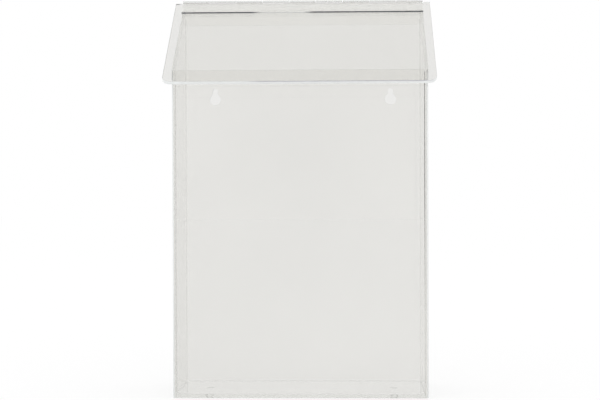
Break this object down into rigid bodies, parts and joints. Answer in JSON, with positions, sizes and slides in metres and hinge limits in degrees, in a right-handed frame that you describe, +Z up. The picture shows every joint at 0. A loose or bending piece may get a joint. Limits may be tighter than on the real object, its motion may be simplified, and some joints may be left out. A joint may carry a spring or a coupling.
{
  "type": "lidded wall box",
  "caption": "Clear acrylic wall box for leaflets, with a sloping overhanging lid on a full-length hinge, keyholes in the back and drain holes in the base.",
  "frame": {"origin": "centre of the base underside, midway between the outer faces of the four walls", "axes": "+Z up, +X to the right seen from the front, -Y towards the front, +Y towards the wall"},
  "size_m": [0.2436, 0.1154, 0.3685],
  "materials": {
    "clear_acrylic": "clear colourless cast sheet, polished faces and edges"
  },
  "bodies": {
    "box": {"front_panel": "clear_acrylic", "back_panel": "clear_acrylic", "left_side_panel": "clear_acrylic", "right_side_panel": "clear_acrylic", "base_panel": "clear_acrylic", "hinge_back_leaf": "clear_acrylic", "hinge_pin": "clear_acrylic"},
    "lid": {"lid_panel": "clear_acrylic", "hinge_lid_leaf": "clear_acrylic"}
  },
  "joints": [
    {"name": "lid_hinge", "type": "hinge", "parent": "box", "child": "lid", "pos_m": [0, 0.047, 0.36597], "axis": [-1, 0, 0], "range_deg": [0, 125]}
  ]
}
